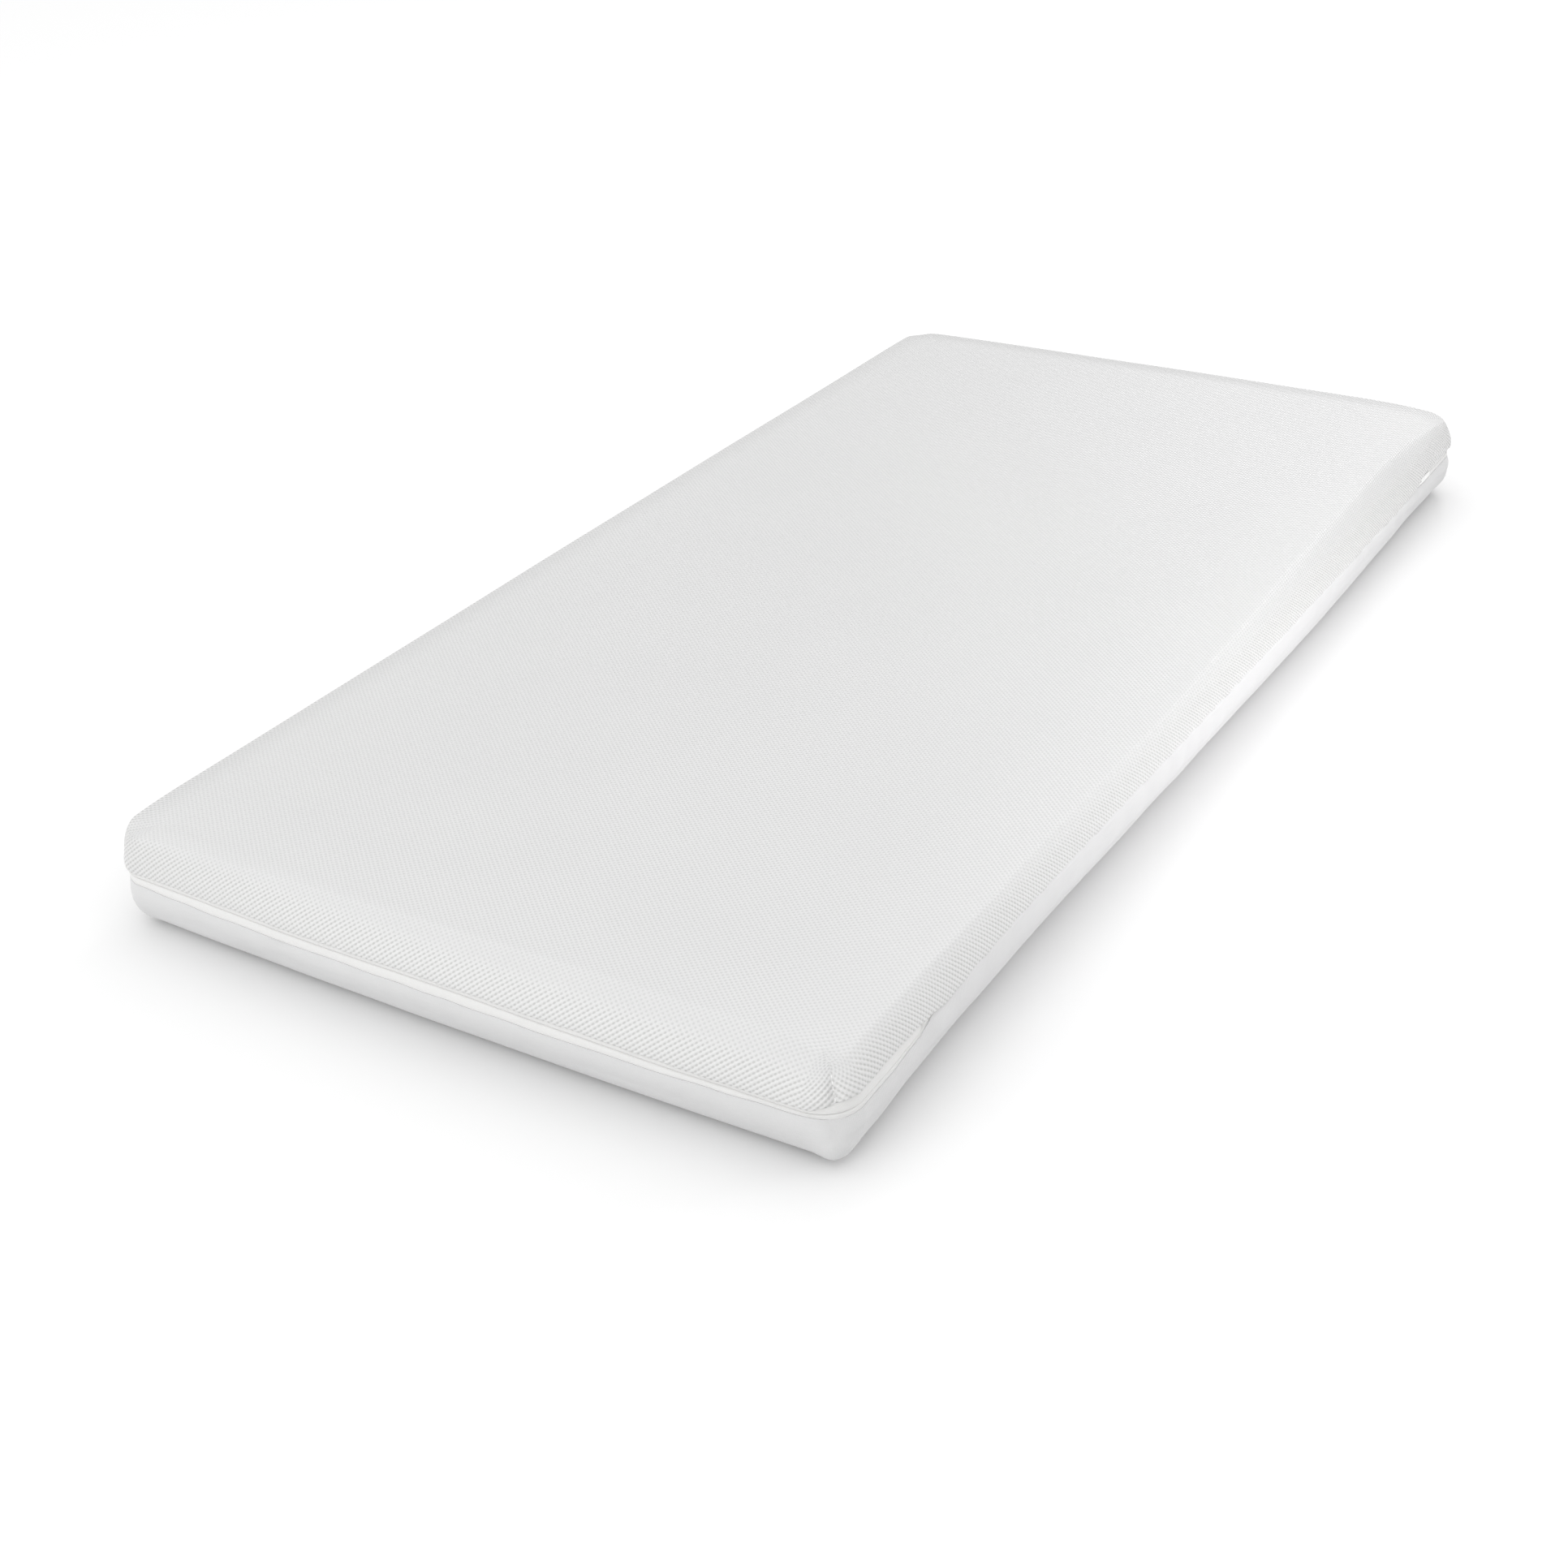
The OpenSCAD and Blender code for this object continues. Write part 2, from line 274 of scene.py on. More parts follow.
# Courses round the outline: the lid's half of the zip, the runs beside its two ends, and the lower half
LID_COURSE = (OUTLINE.right(CORNER_Y), OUTLINE.total + OUTLINE.right(-ZIP_END_Y - NEAR_RUN_L))
NEAR_RUN = (OUTLINE.right(-ZIP_END_Y - NEAR_RUN_L), OUTLINE.right(-ZIP_END_Y + TAPE_TAIL))
SLIDER_RUN = (OUTLINE.right(ZIP_END_Y - TAPE_TAIL), OUTLINE.right(CORNER_Y))
LOWER_COURSE = (SLIDER_RUN[0], OUTLINE.total + NEAR_RUN[1])


# ---- mesh helpers

def add_object(name, data):
    obj = bpy.data.objects.new(name, data)
    bpy.context.scene.collection.objects.link(obj)
    return obj


def make_mesh(name, verts, faces, uvs=None):
    """A smooth object in metres from points in millimetres. Its UV map is the flat cloth, in millimetres."""
    mesh = bpy.data.meshes.new(name)
    mesh.from_pydata((np.asarray(verts) * MM).tolist(), [], faces)
    if uvs is not None:
        mesh.uv_layers.new(name="cloth").data.foreach_set("uv", np.asarray(uvs, np.float32).ravel())
    mesh.polygons.foreach_set("use_smooth", [True] * len(mesh.polygons))
    mesh.update()
    return add_object(name, mesh)


def panel_grid(radius):
    """Plan points of a rounded rectangle filled with a grid, and its border in the outline's order."""
    def axis(half):
        n = int(round(2 * half / STEP))
        corner = np.arange(1, CORNER_STEPS + 1) / CORNER_STEPS
        base = np.concatenate([np.full(CORNER_STEPS, -half), np.linspace(-half, half, n + 1),
                               np.full(CORNER_STEPS, half)])
        return base, np.concatenate([-corner[::-1], np.zeros(n + 1), corner])

    (base_x, part_x), (base_y, part_y) = axis(CORNER_X), axis(CORNER_Y)
    a, b = np.meshgrid(part_x, part_y, indexing="ij")
    x = base_x[:, None] + radius * a * np.sqrt(1 - b * b / 2)
    y = base_y[None, :] + radius * b * np.sqrt(1 - a * a / 2)
    nx, ny = x.shape
    index = np.arange(nx * ny).reshape(nx, ny)
    border = np.concatenate([index[-1, :-1], index[:0:-1, -1], index[0, :0:-1], index[:-1, 0]])
    return np.column_stack([x.ravel(), y.ravel()]), index, border


def grid_faces(index):
    return np.stack([index[:-1, :-1], index[1:, :-1], index[1:, 1:], index[:-1, 1:]], -1).reshape(-1, 4)


# Length of cloth over which the border's pattern turns square to its side
UV_TURN = 17.0


def wall_uv(k, side, edge, length):
    """Flat cloth coordinates of stations k at a length down the wall. They go on from the panel's, and turn
    square to the side."""
    sideways = side % 2 == 0
    out = OUTWARD[side]
    run = np.column_stack([-out[:, 1], out[:, 0]])
    half = np.where(sideways, CORNER_Y, CORNER_X)
    far = np.where(sideways, CORNER_X, CORNER_Y) + CORNER_R - edge
    along = np.where(OUTLINE.side[k] == side, OUTLINE.along[k], half + CORNER_R * np.pi / 4)
    from_panel = OUTLINE.centre[k] + OUTLINE.normal[k] * (CORNER_R - edge) + out * length[:, None]
    from_side = out * (far + length)[:, None] + run * along[:, None]
    return from_panel + (from_side - from_panel) * smooth(length / UV_TURN)[:, None]


def shell(name, edge, panel_height, rings, lengths, foot=None, up=True):
    """A panel ending at depth edge, with a wall of rings after it, each at a length along the cloth.
    foot is the (depth, height) of a closing panel, and a shell that isn't up is turned over."""
    plan, index, border = panel_grid(CORNER_R - edge)
    verts = [np.column_stack([plan, panel_height(*plan.T)])] + list(rings)
    faces = grid_faces(index)
    uvs = [plan[faces].reshape(-1, 2)]
    loops = [border] + [len(plan) + OUTLINE.n * r + np.arange(OUTLINE.n) for r in range(len(rings))]
    lengths = [np.broadcast_to(length, OUTLINE.n) for length in [0.0] + list(lengths)]
    k = np.arange(OUTLINE.n)
    after = (k + 1) % OUTLINE.n
    walls = []
    for r in range(len(rings)):
        walls.append(np.stack([loops[r][k], loops[r + 1][k], loops[r + 1][after], loops[r][after]], -1))
        corners = ((k, lengths[r]), (k, lengths[r + 1]), (after, lengths[r + 1]), (after, lengths[r]))
        uvs.append(np.stack([wall_uv(at, OUTLINE.side, edge, length[at]) for at, length in corners], 1))
    if foot is not None:
        depth, height = foot
        low_plan, low_index, low_border = panel_grid(CORNER_R - depth)
        start = len(plan) + OUTLINE.n * len(rings)
        verts.append(np.column_stack([low_plan, np.full(len(low_plan), height)]))
        low = start + low_border
        walls.append(np.stack([loops[-1][k], low[k], low[after], loops[-1][after]], -1))
        low_faces = grid_faces(low_index)[:, ::-1]
        uvs.append(OUTLINE.rim[np.stack([k, k, after, after], -1)].reshape(-1, 2))
        uvs.append(low_plan[low_faces].reshape(-1, 2))
        walls.append(start + low_faces)
    uvs = np.concatenate([np.reshape(part, (-1, 2)) for part in uvs])
    faces = np.vstack([faces] + walls)
    if not up:
        faces = faces[:, ::-1]
        uvs = uvs.reshape(-1, 4, 2)[:, ::-1].reshape(-1, 2)
    return make_mesh(name, warp(np.vstack(verts)), faces.tolist(), uvs)


def band(name, course_ends, rows, edge_z):
    """A strip of tape along part of the outline. rows gives its lines from the top down: depth, share of the
    way from the closing line to the edge of the cloth beside it, and height above that."""
    s = OUTLINE.stations(*course_ends)
    x, y = OUTLINE.rim_at(s)
    level, edge = zip_line_z(x, y), edge_z(x, y)
    lines = []
    for depth, share, rise in rows:
        z = level + (edge - level) * share + rise
        lines.append((depth + border_lean(x, y, z), z))
    verts = np.vstack([OUTLINE.points(s, depth, z) for depth, z in lines])
    widths = np.concatenate([[0.0], np.cumsum([
        np.hypot(np.mean(b[0] - a[0]), np.mean(b[1] - a[1])) for a, b in zip(lines, lines[1:])])])
    faces = grid_faces(np.arange(len(verts)).reshape(len(rows), len(s)))
    flat = np.column_stack([np.tile(s, len(rows)), np.repeat(-widths, len(s))])
    return make_mesh(name, verts, faces.tolist(), flat[faces].reshape(-1, 2))


def tubes(name, lines, out, radius, sides=4, taper=1.0):
    """Round closed threads: lines is (threads, points, 3), out a rough outward direction at each point."""
    lines = np.asarray(lines, float)
    threads, points, _ = lines.shape
    along = unit(np.gradient(lines, axis=1))
    side = unit(np.cross(along, np.broadcast_to(out, lines.shape)))
    up = np.cross(side, along)
    angle = TURN * np.arange(sides) / sides
    size = radius * np.broadcast_to(taper, points)
    spoke = np.cos(angle)[:, None] * side[:, :, None] + np.sin(angle)[:, None] * up[:, :, None]
    verts = lines[:, :, None] + size[None, :, None, None] * spoke
    index = np.arange(threads * points * sides).reshape(threads, points, sides)
    a, b = index[:, :-1], index[:, 1:]
    quads = np.stack([a, b, np.roll(b, -1, axis=2), np.roll(a, -1, axis=2)], -1).reshape(-1, 4)
    faces = quads.tolist() + index[:, 0].tolist() + index[:, -1, ::-1].tolist()
    return make_mesh(name, verts.reshape(-1, 3), faces)


def helix(name, course_ends, height, depth, half_depth, half_height, pitch, wire_r, points_a_turn=7):
    """A thread or wire wound along part of the outline."""
    start, end = course_ends
    s = np.linspace(start, end, int((end - start) / pitch * points_a_turn))
    angle = TURN * (s - start) / pitch
    x, y = OUTLINE.rim_at(s)
    normal = OUTLINE.at(s)[1]
    turn = OUTLINE.points(s, depth - half_depth * np.cos(angle), height(x, y) + half_height * np.sin(angle))
    radial = np.column_stack([normal * np.cos(angle)[:, None], np.sin(angle)])
    return tubes(name, turn[None], radial[None], wire_r)


# A stitch's points: the share of its length, how far each has sunk into the cloth, and its share of full size
STITCH_SHARE = np.array([0.0, 0.16, 0.5, 0.84, 1.0])
STITCH_SINK = np.array([0.45, 0.1, 0.0, 0.1, 0.45])
STITCH_TAPER = np.array([0.5, 0.9, 1.0, 0.9, 0.5])


def stitches(name, course_ends, depth, height, length=3.0, gap=0.5, radius=0.26):
    """A row of short threads on the inside along part of the outline. Each sinks in at both ends."""
    start, end = course_ends
    first = np.arange(start, end - length, length + gap)
    s = (first[:, None] + length * STITCH_SHARE).ravel()
    x, y = OUTLINE.rim_at(s)
    normal = OUTLINE.at(s)[1]
    z = height(x, y)
    points = OUTLINE.points(s, depth + border_lean(x, y, z) - np.tile(STITCH_SINK, len(first)), z)
    out = np.column_stack([-normal, np.zeros(len(s))])
    shape = (len(first), len(STITCH_SHARE), 3)
    return tubes(name, points.reshape(shape), out.reshape(shape), radius, 6, STITCH_TAPER)


def thicken(obj, thickness_mm, offset=-1.0):
    mod = obj.modifiers.new("thickness", "SOLIDIFY")
    mod.thickness = thickness_mm * MM
    mod.offset = offset
    mod.use_even_offset = False
    return obj


def bevel(obj, width_mm, segments=2):
    mod = obj.modifiers.new("soft_edges", "BEVEL")
    mod.width = width_mm * MM
    mod.segments = segments
    mod.limit_method = "ANGLE"
    return obj


# ---- cover pieces

def dart_depth(t):
    """The corner darts draw the mesh in to a valley between its ridge (t = 0) and its hem (t = 1)."""
    grown = smooth(1.5 * t - 0.15) * (1 - 0.5 * smooth((t - 0.75) / 0.25))
    return grown * (3.6 * hump(FROM_CORNER, 7.0) - 1.2 * hump(FROM_CORNER - 27.0, 14.0))


def corner_valley(x, y):
    """How far the top falls in a wedge towards each corner's dart."""
    a, b = HALF_W - np.abs(x), HALF_L - np.abs(y)
    near = smooth((x - y - 100.0) / 500.0)
    along, across = (a + b) / np.sqrt(2), (a - b) / np.sqrt(2)
    return (2.0 + 3.5 * near) * smooth((62.0 - along) / 46.0) * hump(across, 5.0 + 0.4 * np.abs(along))


def top_height(x, y):
    """The top panel falls a little towards its front edge, its sewn side and its corners' darts."""
    front = smooth((-y - (HALF_L - 75.0)) / 70.0)
    right = np.clip((x - (HALF_W - 95.0)) / 75.0, 0, 1) ** 2
    ripple = 0.22 * np.sin(x / 83.0 + 0.5) * np.cos(y / 117.0) + 0.1 * np.sin(x / 31.0 + y / 45.0)
    return TOP_Z - 0.4 - 1.4 * front - 3.2 * right + ripple - corner_valley(x, y)


# Where the top panel ends, in from the widest outline, and the shape of the slope beyond it
PANEL_EDGE = 27.5
CREST_POWER = 1.45
CREST_STEPS = 15


def crest(ridge, high, foot_z, out=0.0):
    """Depths and heights of rings from a ridge down to a foot line: a slope with a soft crest."""
    rings = []
    for k in range(CREST_STEPS + 1):
        a = np.radians(90.0 * k / CREST_STEPS)
        depth = out + ridge * (1 - np.sin(a) ** CREST_POWER)
        rings.append((depth, foot_z + (high - foot_z) * np.cos(a) ** CREST_POWER))
    return rings


def border_lean(x, y, z):
    """How far the mesh border's slope lies in from the outline, at a height above its hem."""
    hem = mesh_edge_z(x, y)
    rise = np.clip((z - hem) / (top_height(x, y) - hem), 0, 1)
    return ridge_depth(x, y) * (1 - (1 - rise ** (2 / CREST_POWER)) ** (CREST_POWER / 2))


def along_cloth(profile, start):
    """Distance down the cloth to each ring of a profile, from where the panel ends."""
    lengths = [start]
    for (depth_a, z_a), (depth_b, z_b) in zip(profile, profile[1:]):
        lengths.append(lengths[-1] + np.hypot(depth_b - depth_a, z_b - z_a))
    return lengths


def border_profile():
    """The mesh border's rings, from its ridge to its hem, drawn in at the corners by darts."""
    ridge = np.minimum(ridge_depth(RIM_X, RIM_Y), PANEL_EDGE - 0.4)
    x, y, _ = OUTLINE.ring(ridge, 0.0).T
    s = OUTLINE.reach[:-1]
    gathers = 0.22 * np.sin(s / 3.7 + 3.0 * np.sin(s / 57.0))
    rings = []
    for k, (depth, z) in enumerate(crest(ridge, top_height(x, y), mesh_edge_z(RIM_X, RIM_Y))):
        t = k / CREST_STEPS
        rings.append((depth - 0.8 * np.sin(np.pi * t) + gathers * t ** 4 + dart_depth(t), z))
    return rings


# The mesh hem as it turns under: depths and heights from the border's last ring
HEM = ((0.6, -0.5), (1.4, -0.7), (2.2, -0.3), (3.0, 0.8), (3.6, 4.0))


def build_top_cover():
    """A crowned panel whose border slopes down from its ridge to a hem that turns under."""
    profile = border_profile()
    hem_depth, hem = profile[-1]
    for depth, rise in HEM:
        profile.append((hem_depth + depth, hem + rise))
    lengths = along_cloth(profile, PANEL_EDGE - profile[0][0])
    rings = [OUTLINE.ring(*row) for row in profile]
    return shell("spacer_mesh_cover", PANEL_EDGE, top_height, rings, lengths)


def pucker(s):
    """Uneven small waves along a seam, between about -1 and 1."""
    return (np.sin(s / 5.1 + 2.2 * np.sin(s / 43.0)) * (0.6 + 0.4 * np.sin(s / 71.0 + 1.0))
            + 0.45 * np.sin(s / 12.7 + 1.7 * np.sin(s / 97.0)))


# The lower cover's fold at its upper edge: depths, heights about the fold line, and lengths along the cloth
FOLD = ((1.5, -0.3, 0.5), (1.9, 0.0, 0.5), (2.4, -0.25, 0.5), (2.8, -1.0, 1.0), (2.9, -3.5, 2.5))
# Length of cloth from the foot's curve up to the fold
WALL_CLOTH = 13.0


def sag_wave(s):
    return np.sin(s / 21.0 + 2.0 * np.sin(s / 83.0))


def build_lower_cover():
    """A flat underside with a soft lower edge, and a puckered wall up to a folded edge."""
    rings, lengths = [], []
    inset, steps, rows = 0.4, 9, 9
    edge_depth = inset + BOTTOM_EDGE_R
    radius = BOTTOM_EDGE_R - 10.0 * on_front(RIM_Y) * (1 - on_right(RIM_X))
    tuck = 0.8 * (BOTTOM_EDGE_R - radius)
    point = 5.0 * hump(FROM_CORNER, 24.0)
    s = OUTLINE.reach[:-1]
    fold_line = hump(FROM_CORNER, 8.0)
    sewn = on_right(RIM_X) * smooth((ZIP_END_Y - 6.0 - np.abs(RIM_Y)) / 30.0)
    length = 0.0

    def drawn_in(z, share=1.0):
        return tuck * (1 - smooth(z / 44.0)) - point * (1 - smooth((z - 12.0) / 30.0)) * share

    for k in range(1, steps + 1):
        t = k / steps
        a = np.radians(-90.0 + 90.0 * t)
        sag = 0.9 * t ** 2 * sag_wave(s)
        z = radius * (1 + np.sin(a))
        depth = inset + radius * (1 - np.cos(a)) + 0.5 * fold_line * t + 0.35 * sag
        depth = np.minimum(depth + drawn_in(z, smooth(2.5 * t)), edge_depth)
        rings.append(OUTLINE.ring(depth, z))
        length += BOTTOM_EDGE_R * np.radians(90.0 / steps)
        lengths.append(length)
    fold = cloth_edge_z(RIM_X, RIM_Y)
    waves = pucker(s) * (0.34 + 0.3 * sewn + 0.5 * on_right(RIM_X) * hump(np.abs(RIM_Y) - ZIP_END_Y, 32.0))
    for k in range(1, rows + 1):
        t = k / rows
        z = radius + (fold - 0.8 - radius) * t
        belly = 0.8 * np.sin(np.pi * t) + 0.35 * sag_wave(s) * (1 - t)
        lip = sewn * 1.5 * smooth((t - 0.2) / 0.7)
        crease = fold_line * (0.5 + 0.5 * np.sin(np.pi * t))
        depth = inset + 1.0 * t ** 2 - belly - lip + waves * t * (1.25 - t) * 2.2 + crease
        rings.append(OUTLINE.ring(depth + drawn_in(z), z))
        length += WALL_CLOTH / rows
        lengths.append(length)
    for depth, rise, run in FOLD:
        rings.append(OUTLINE.ring(depth + fold_line * 0.6 - sewn * 1.5 * max(0.0, 2.4 - depth), fold + rise))
        length += run
        lengths.append(length)
    return shell("lower_cloth_cover", edge_depth, lambda x, y: 0 * x, rings, lengths, up=False)


# How far each coil's middle lies from the closing line, and the tapes' rows, as band() takes them
COIL_RISE = 1.3
UPPER_TAPE = ((3.6, 0, TAPE_W - 0.5), (3.5, 1, 3.0), (3.2, 1, 0.6), (2.2, 1, -0.5), (1.85, 0.72, 0),
              (1.8, 0.45, 0), (1.9, 0, 1.1), (2.1, 0, 0.45), (2.8, 0, 0.14), (3.6, 0, 0.1))
LOWER_TAPE = ((3.6, 0, -0.1), (2.8, 0, -0.14), (2.1, 0, -0.45), (1.9, 0, -1.1), (1.85, 0.5, 0),
              (1.9, 1, 0.3), (2.6, 1, -1.2), (3.3, 0, 0.5 - TAPE_W))


def build_foam(name, low, bottom_r, high=None, top_r=1.0):
    """A foam block that fills the cover: straight sides and soft edges. Without a height, its top follows
    the cover's crest a few millimetres inside it."""
    corner_relief = 4.0 * hump(FROM_CORNER, 18.0)
    if high is None:
        ridge = np.clip(ridge_depth(RIM_X, RIM_Y) - 6.0, 4.0, PANEL_EDGE - FOAM_DEPTH - 0.4)
        edge = PANEL_EDGE
        x, y, _ = OUTLINE.ring(FOAM_DEPTH + ridge, 0.0).T
        profile = crest(ridge, foam_top_z(x, y), mesh_edge_z(RIM_X, RIM_Y) - 6.0, FOAM_DEPTH)
        panel = foam_top_z
    else:
        edge = FOAM_DEPTH + top_r
        profile = []
        for a in np.radians(90.0 * np.arange(1, 7) / 6):
            depth = np.full(OUTLINE.n, FOAM_DEPTH + top_r * (1 - np.sin(a)))
            profile.append((depth, high - top_r * (1 - np.cos(a))))

        def panel(x, y):
            return high + 0 * x
    top_foot = profile[-1][1]
    for t in (0.33, 0.67, 1.0):
        profile.append((np.full(OUTLINE.n, FOAM_DEPTH), top_foot + (low + bottom_r - top_foot) * t))
    for a in np.radians(90.0 * np.arange(1, 6) / 6):
        depth = np.full(OUTLINE.n, FOAM_DEPTH + bottom_r * (1 - np.cos(a)))
        profile.append((depth, low + bottom_r * (1 - np.sin(a))))
    lengths = along_cloth(profile, np.full(OUTLINE.n, 0.1))
    rings = [OUTLINE.ring(np.minimum(depth + corner_relief, 28.5), z) for depth, z in profile]
    return shell(name, edge, panel, rings, lengths, (FOAM_DEPTH + bottom_r, low))


def foam_top_z(x, y):
    return top_height(x, y) - 3.0 - 0.3 * corner_valley(x, y)


def build_dart_stitching():
    """A short seam down each corner's valley."""
    threads, first, pitch, length = 5, 0.4, 0.11, 0.09
    depths, heights = (np.array(column) for column in zip(*border_profile()))
    down = np.linspace(0, 1, len(depths))
    lines, outs = [], []
    for i in np.flatnonzero(OUTLINE.bend >= 0.999):
        for k in range(threads):
            t = first + k * pitch + length * STITCH_SHARE
            s = np.full(len(t), OUTLINE.reach[i])
            depth = np.interp(t, down, depths[:, i]) + STITCH_SINK
            lines.append(OUTLINE.points(s, depth, np.interp(t, down, heights[:, i])))
            outs.append(np.column_stack([OUTLINE.at(s)[1], np.zeros(len(t))]))
    return tubes("dart_stitches", lines, np.array(outs), 0.3, 6, STITCH_TAPER)


def build_bar_tacks():
    """Dense satin stitches across each end of the zip."""
    half_h, threads, spacing, radius = 4.0, 9, 0.24, 0.2
    z = ZIP_Z + half_h * np.array([-1.0, -0.92, -0.5, 0.0, 0.5, 0.92, 1.0])
    depth = 2.3 + np.array([0.5, 0.1, 0.0, -0.05, 0.0, 0.1, 0.5])
    lines = []
    for side, lift in ((-1, 4.0), (1, 0.0)):
        for k in range(threads):
            y = side * (ZIP_END_Y + radius + k * spacing)
            lines.append(OUTLINE.points(OUTLINE.right(np.full(len(z), y)), depth, z + lift))
    return tubes("bar_tack_stitches", lines, np.array([1.0, 0.0, 0.0]), radius, 6)


def build_label():
    """A blank satin strip caught in the lower cloth's fold, with its free edge curling out."""
    (x0, _, z0), (x1, _, z1) = box_mm("care_label")
    columns, rows = 13, 8
    u, v = np.meshgrid(np.linspace(0, 1, columns), np.linspace(0, 1, rows))
    curl = 1.4 * v ** 3 + 0.25 * np.sin(u * 5.0 + 1.0) * v
    x = x1 + (x0 - x1) * u
    y = HALF_L - 0.2 + 0.9 * np.sin(np.pi * v * 0.8) + curl
    z = z1 - 0.6 + (z0 - z1) * v
    faces = grid_faces(np.arange(columns * rows).reshape(rows, columns))
    flat = np.column_stack([u.ravel() * (x1 - x0), v.ravel() * (z0 - z1)])
    points = warp(np.column_stack([x.ravel(), y.ravel(), z.ravel()]))
    return make_mesh("care_label_strip", points, faces.tolist(), flat[faces].reshape(-1, 2))


# ---- slider

def loft(name, sections, closed=False):
    """A solid from rings of points that match one to one. Its ends are capped unless it closes on itself."""
    sections = np.asarray(sections, float)
    n, m, _ = sections.shape
    index = np.arange(n * m).reshape(n, m)
    a = index if closed else index[:-1]
    b = np.roll(index, -1, axis=0) if closed else index[1:]
    quads = np.stack([a, np.roll(a, -1, axis=1), np.roll(b, -1, axis=1), b], -1).reshape(-1, 4)
    faces = quads.tolist()
    if not closed:
        faces += [index[0, ::-1].tolist(), index[-1].tolist()]
    obj = make_mesh(name, sections.reshape(-1, 3), faces)
    outward(obj)
    return obj


def outward(obj):
    """Turns an object's faces outwards."""
    bm = bmesh.new()
    bm.from_mesh(obj.data)
    bmesh.ops.recalc_face_normals(bm, faces=bm.faces)
    bm.to_mesh(obj.data)
    bm.free()


def rounded(half_u, half_v, points=24, power=4.0):
    """A superellipse's points: a rectangle with round corners."""
    a = TURN * np.arange(points) / points
    c, s = np.cos(a), np.sin(a)
    size = (np.abs(c) ** power + np.abs(s) ** power) ** (-1 / power)
    return half_u * size * c, half_v * size * s


def section(x, y, z):
    return np.column_stack([x, np.full(len(x), y), z])


def plate_width(t):
    """Share of a slider plate's full width along it: broad at its shoulders and drawn in at its tail."""
    return 0.76 + 0.24 * smooth((t - 0.25) / 0.5)


def plate(name, x_centre, half_t, y_from, y_to, half_w):
    """A slider plate with rounded ends."""
    t = (1 - np.cos(np.pi * np.linspace(0, 1, 17))) / 2
    end = np.sqrt(np.clip(1 - np.abs(2 * t - 1) ** 7, 0.02, 1))
    width = half_w * plate_width(t) * end
    sections = []
    for k, share in enumerate(t):
        z, x = rounded(width[k], half_t * (0.55 + 0.45 * end[k]))
        sections.append(section(x_centre + x, y_from + (y_to - y_from) * share, ZIP_Z + z))
    return loft(name, sections)


def join(name, *parts):
    """Copies the parts' meshes into one object."""
    verts, faces = [], []
    for part in parts:
        start = len(verts)
        verts += [tuple(v.co / MM) for v in part.data.vertices]
        faces += [[start + k for k in face.vertices] for face in part.data.polygons]
        bpy.data.objects.remove(part)
    return make_mesh(name, verts, faces)


def build_slider():
    """Two shaped plates, the divider between the rows, and the flanges that hold the rows in."""
    low, high = box_mm("slider_body")
    outer_half_t, inner_half_t = 0.5, 0.35
    half_w = (high[2] - low[2]) / 2
    outer = plate("outer", high[0] - outer_half_t, outer_half_t, low[1], high[1], half_w)
    inner = plate("inner", low[0] + inner_half_t, inner_half_t, low[1], high[1], half_w)
    parts = [outer, inner]
    divider_y = np.linspace(high[1] - 3.4, high[1] - 0.5, 7)
    swell = np.sin(np.pi * np.linspace(0.08, 0.92, 7))
    sections = []
    for y, size in zip(divider_y, swell):
        x, z = rounded((high[0] - low[0]) / 2 - 0.4, 0.45 * size)
        sections.append(section((low[0] + high[0]) / 2 + x, y, ZIP_Z + z))
    parts.append(loft("divider", sections))
    for side in (-1, 1):
        sections = []
        for t in np.linspace(0.06, 0.94, 9):
            reach = half_w * plate_width(t) - 0.32
            x, z = rounded(0.9, 0.25, 12)
            y = low[1] + (high[1] - low[1]) * t
            sections.append(section(low[0] + 0.95 + x, y, ZIP_Z + side * reach + z))
        parts.append(loft("flange", sections))
    return join("zip_slider_plates", *parts)


def build_bridge():
    """A round-backed arch over the outer plate, under which the pull's pin turns."""
    low, high = box_mm("slider_bridge")
    t = np.linspace(0, 1, 25)
    y = low[1] + 0.25 + (high[1] - low[1] - 0.5) * t
    rise = np.clip(1 - np.abs(2 * t - 1) ** 6, 0, 1) ** 0.5
    x = low[0] - 0.1 + (high[0] - 0.25 - low[0] + 0.1) * rise
    path = np.column_stack([x, y, np.full(len(t), ZIP_Z)])
    along = unit(np.gradient(path, axis=0))
    sections = []
    for point, way in zip(path, along):
        side = np.array([way[1], -way[0], 0.0])
        u, v = rounded(0.25, (high[2] - low[2]) / 2, 16, 3.0)
        sections.append(point + u[:, None] * side + v[:, None] * np.array([0, 0, 1.0]))
    return loft("zip_slider_bridge", sections)


def tab_outline(y_from, y_to, half_near, half_far, points=48):
    """A loop in the tab's plane: straight sides that widen, and round ends."""
    u, v = rounded(1.0, 1.0, points, 3.4)
    y_mid, half_l = (y_from + y_to) / 2, (y_to - y_from) / 2
    return y_mid + half_l * u, (half_near + (half_far - half_near) * (u + 1) / 2) * v


# The tab's section, from its outer edge to its slot: share of the way, and share of its full thickness
TAB_SECTION = ((0.0, 0.8), (0.06, 1.0), (0.2, 1.0), (0.3, 0.62), (0.86, 0.62), (0.94, 1.0), (1.0, 0.8))


